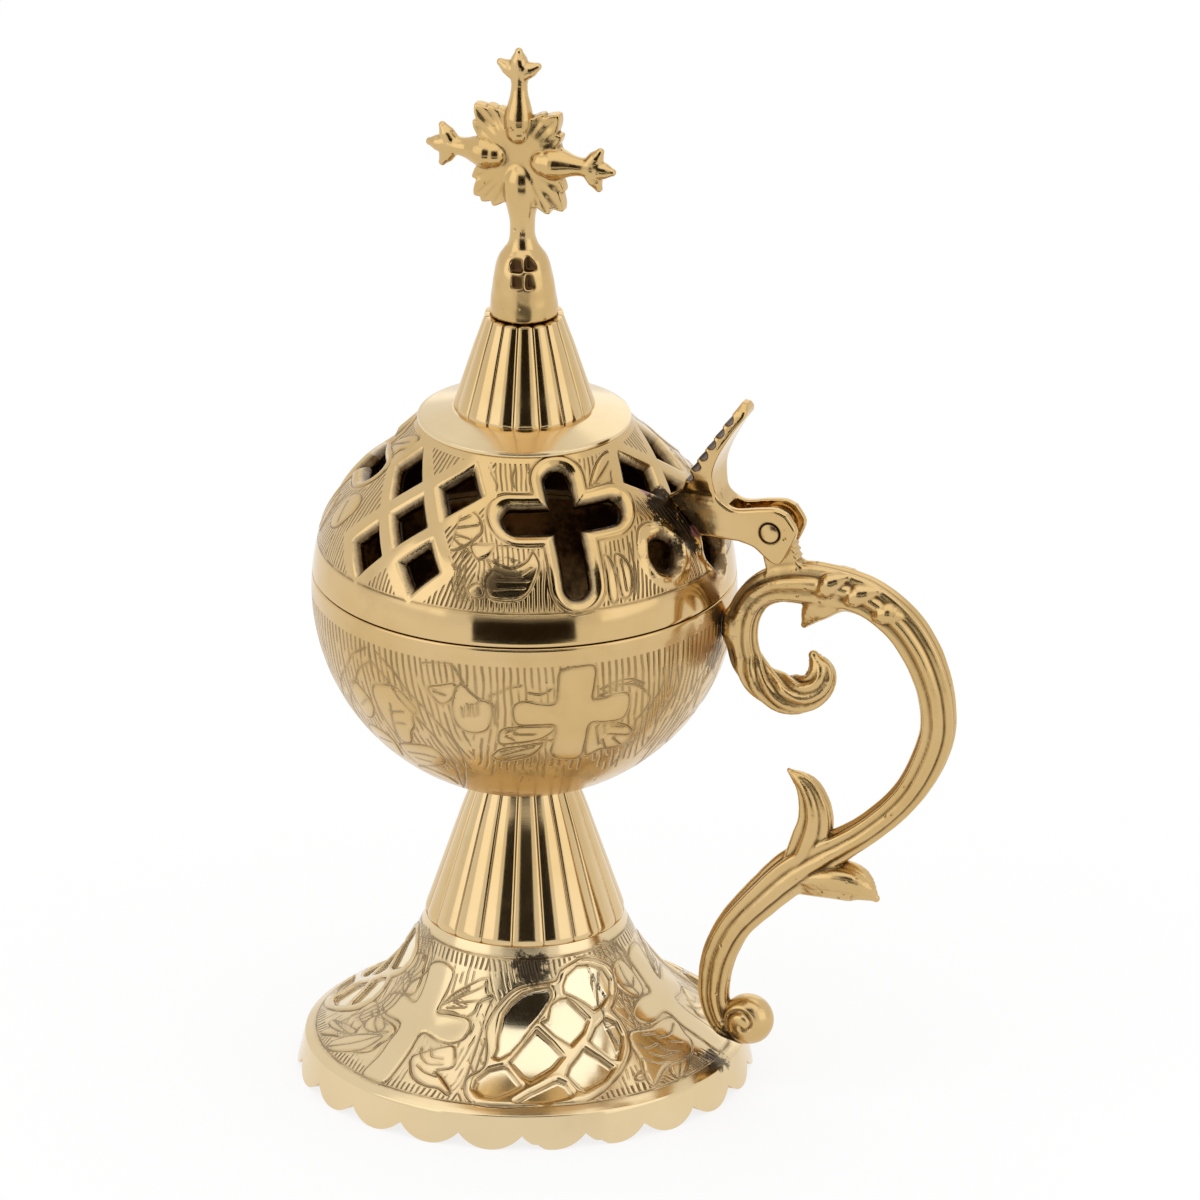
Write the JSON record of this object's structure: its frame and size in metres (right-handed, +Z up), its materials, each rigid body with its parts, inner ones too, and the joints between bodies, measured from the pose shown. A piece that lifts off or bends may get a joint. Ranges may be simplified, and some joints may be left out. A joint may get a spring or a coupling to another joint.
{
  "type": "standing censer",
  "caption": "Standing brass hand censer: scalloped foot, reeded stem, bowl with a pierced hinged lid, cross finial, scroll handle and thumb lever.",
  "frame": {"origin": "on the ground, under the middle of the bounding box", "axes": "+Z up along the censer's own axis, +X from the censer's axis towards its handle, +Y across"},
  "size_m": [0.137, 0.0918, 0.2184],
  "materials": {
    "engraved_brass": "engraved and polished",
    "polished_brass": "polished",
    "cast_brass": "cast, with dark patina in the recesses",
    "plain_brass": "satin",
    "sooted_brass": "tarnished"
  },
  "bodies": {
    "standing": {"foot": "engraved_brass", "stem": "polished_brass", "bowl": "engraved_brass", "tie_bolt": "sooted_brass", "tie_washer": "plain_brass", "tie_nut": "plain_brass", "handle": "cast_brass"},
    "lid": {"lid": "engraved_brass", "spire": "polished_brass", "spire_stud": "sooted_brass", "spire_washer": "sooted_brass", "spire_nut": "sooted_brass", "cross_finial": "cast_brass", "thumb_lever": "cast_brass", "hinge_pin": "plain_brass"},
    "pan": {"charcoal_pan": "sooted_brass"}
  },
  "joints": [
    {"name": "lid_hinge", "type": "hinge", "parent": "standing", "child": "lid", "pos_m": [0.03063, 0, 0.1233], "axis": [0, 1, 0], "range_deg": [0, 115]},
    {"name": "pan_lift", "type": "slide", "parent": "standing", "child": "pan", "axis": [0, 0, 1], "range_m": [0, 0.025]}
  ]
}
